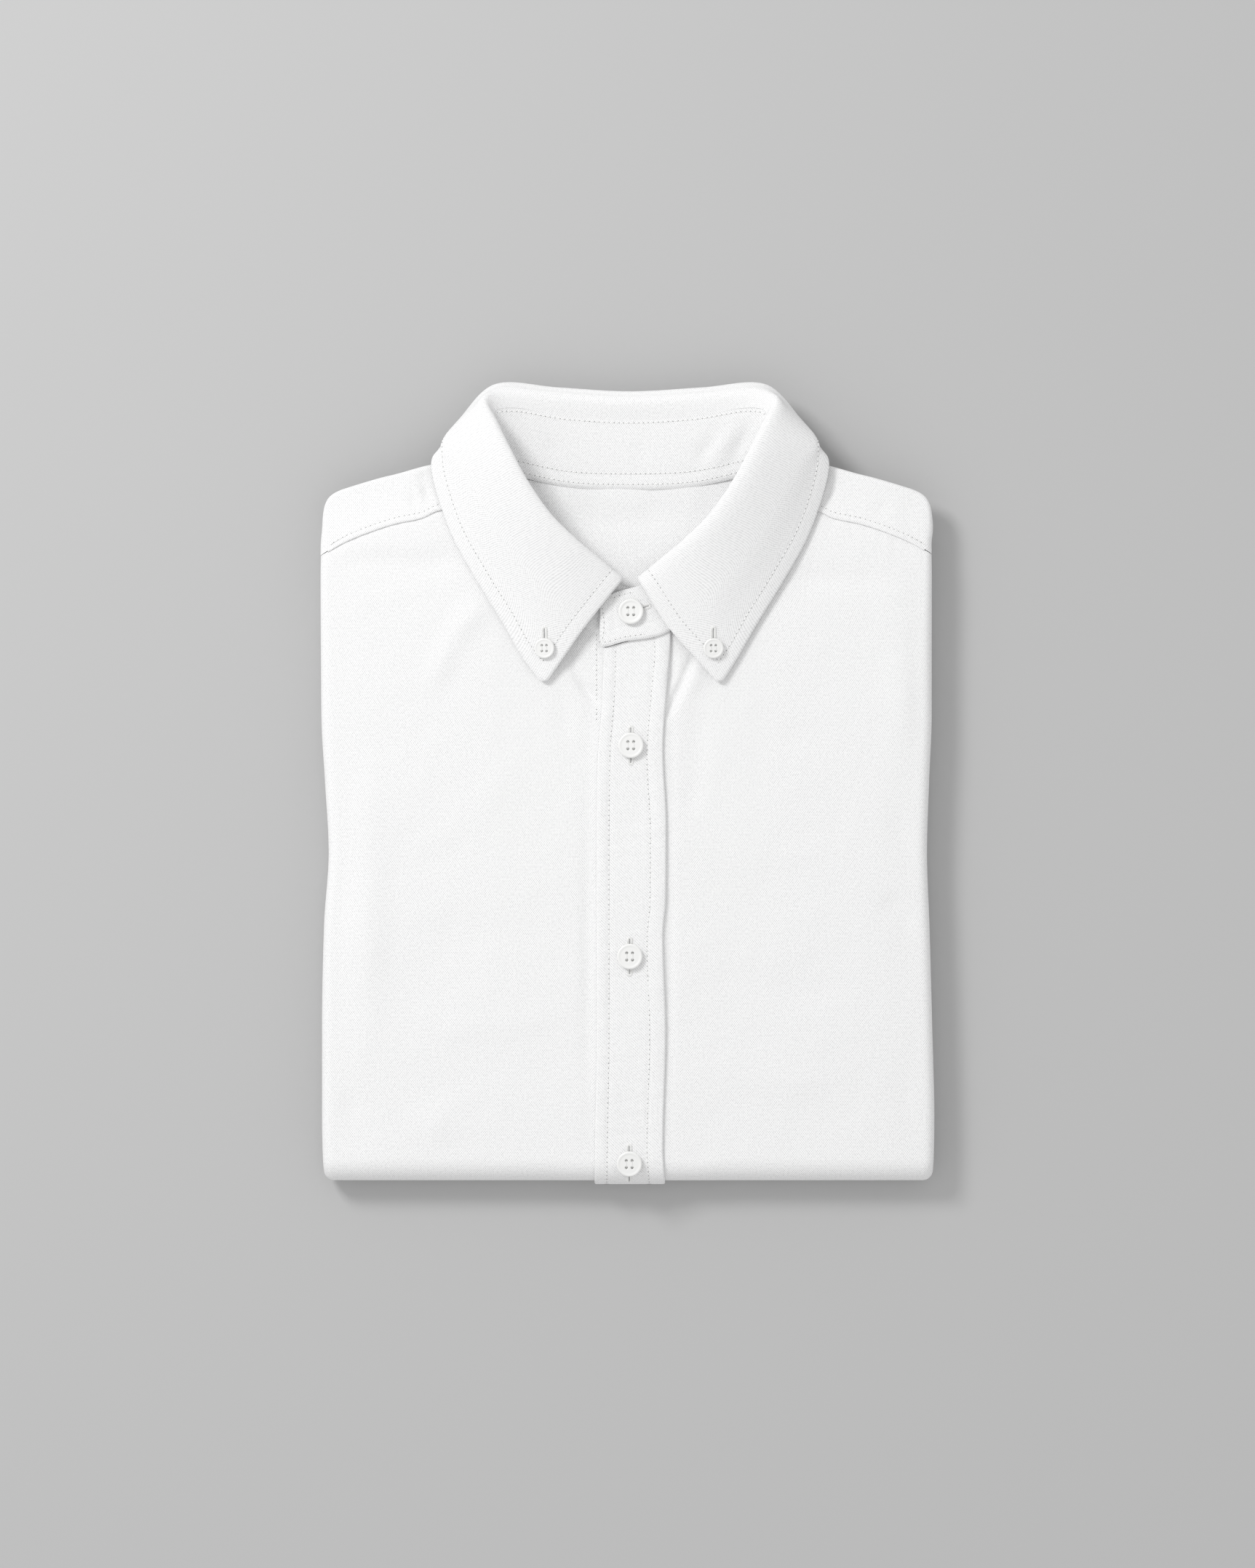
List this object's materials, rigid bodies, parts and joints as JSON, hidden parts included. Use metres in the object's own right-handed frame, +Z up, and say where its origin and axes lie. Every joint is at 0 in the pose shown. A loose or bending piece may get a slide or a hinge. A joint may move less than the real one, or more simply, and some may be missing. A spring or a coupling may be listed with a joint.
{
  "type": "folded button-down shirt",
  "caption": "White woven long-sleeved button-down shirt, folded face up into a flat pack with the collar buttoned and standing in a soft roll.",
  "frame": {"origin": "middle of the footprint, on the surface that the pack lies on", "axes": "+Z up out of the shirt's front, +Y along the placket towards the collar, +X to the viewer's right"},
  "size_m": [0.2751, 0.359, 0.0377],
  "materials": {
    "cloth": "soft matt cotton oxford, fine basket weave",
    "folded_cloth": "soft matt cotton oxford, folded inside",
    "button": "polished, slightly pearly"
  },
  "bodies": {
    "root": {"folded_layers": "folded_cloth", "yoke": "cloth", "front_button_side": "cloth", "front_placket_side": "cloth", "button_stand": "cloth", "front_placket": "cloth", "collar_stand": "cloth", "collar_leaf": "cloth", "button_collar_stand": "button", "button_placket_1": "button", "button_placket_2": "button", "button_placket_3": "button", "button_collar_point_left": "button", "button_collar_point_right": "button"}
  },
  "joints": []
}
